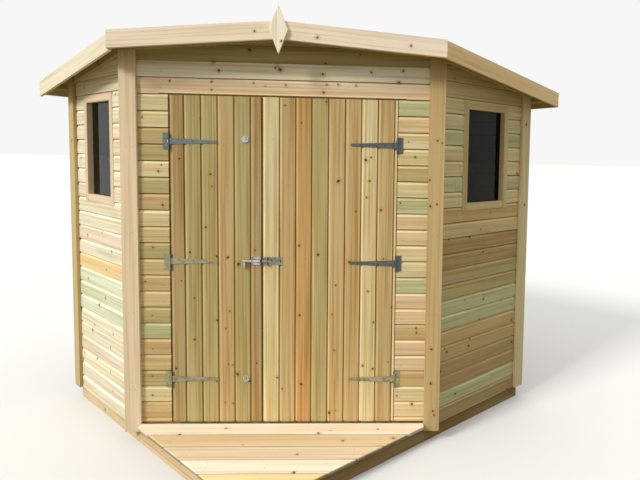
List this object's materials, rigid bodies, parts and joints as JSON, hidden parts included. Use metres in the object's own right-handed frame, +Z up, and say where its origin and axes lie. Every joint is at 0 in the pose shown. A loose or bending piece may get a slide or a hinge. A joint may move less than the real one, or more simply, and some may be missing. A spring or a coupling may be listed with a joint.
{
  "type": "corner summerhouse",
  "caption": "Timber corner summerhouse on a square plan with its front corner cut off by double doors, a small triangular deck, side windows and a shallow two-fall roof.",
  "frame": {"origin": "on the ground at the centre of the square plan, on the underside of the middle joist", "axes": "+Z up, -Y out through the double doors, +X to the right seen from the doors"},
  "size_m": [3.4196, 3.2496, 2.4202],
  "materials": {
    "base_timber": "rough sawn, pressure treated",
    "floor_board": "planed tongue and groove",
    "deck_board": "planed, weathered by rain",
    "front_cladding": "planed shiplap, pressure treated",
    "left_cladding": "planed shiplap, pressure treated",
    "right_cladding": "planed shiplap, pressure treated",
    "framing": "planed softwood",
    "trim": "planed softwood, nailed",
    "window_frame": "planed softwood",
    "glazing": "clear float glass",
    "left_door": "planed matchboard",
    "right_door": "planed matchboard",
    "ironwork": "galvanised, dull",
    "roof_boards": "planed softwood",
    "felt": "mineral felt",
    "fascia": "planed softwood",
    "finial": "planed softwood"
  },
  "bodies": {
    "cabin": {"base_rails": "base_timber", "floor_joists": "base_timber", "floor_boards": "floor_board", "deck_boards": "deck_board", "front_wall_left": "front_cladding", "front_wall_right": "front_cladding", "front_wall_top": "front_cladding", "left_wall": "left_cladding", "back_left_wall": "left_cladding", "right_wall": "right_cladding", "back_right_wall": "right_cladding", "wall_studs": "framing", "wall_rails": "framing", "top_plates": "framing", "door_stops": "framing", "rafters": "framing", "ridge_beam": "framing", "roof_rails": "framing", "front_trims": "trim", "left_corner_trims": "trim", "right_corner_trims": "trim", "back_corner_trims": "trim", "left_window_frame": "window_frame", "right_window_frame": "window_frame", "left_window_glass": "glazing", "right_window_glass": "glazing", "hinge_plates": "ironwork", "roof_panel_left": "roof_boards", "roof_panel_right": "roof_boards", "roof_felt": "felt", "front_fascias": "fascia", "side_fascias": "fascia", "back_fascias": "fascia", "finial": "finial"},
    "left_door": {"left_door_boards": "left_door", "left_door_ledges": "left_door", "left_hinge_straps": "ironwork", "bolt_barrel": "ironwork", "door_buttons": "ironwork"},
    "right_door": {"right_door_boards": "right_door", "right_door_ledges": "right_door", "right_hinge_straps": "ironwork", "bolt_keep": "ironwork"},
    "bolt": {"bolt_rod": "ironwork"}
  },
  "joints": [
    {"name": "left_door_hinge", "type": "hinge", "parent": "cabin", "child": "left_door", "pos_m": [-0.633, -0.66573, 1.045], "axis": [0, 0, -1], "range_deg": [0, 170]},
    {"name": "right_door_hinge", "type": "hinge", "parent": "cabin", "child": "right_door", "pos_m": [0.623, -0.66573, 1.045], "axis": [0, 0, 1], "range_deg": [0, 170]},
    {"name": "bolt_slide", "type": "slide", "parent": "left_door", "child": "bolt", "axis": [1, 0, 0], "range_m": [0, 0.026]}
  ]
}
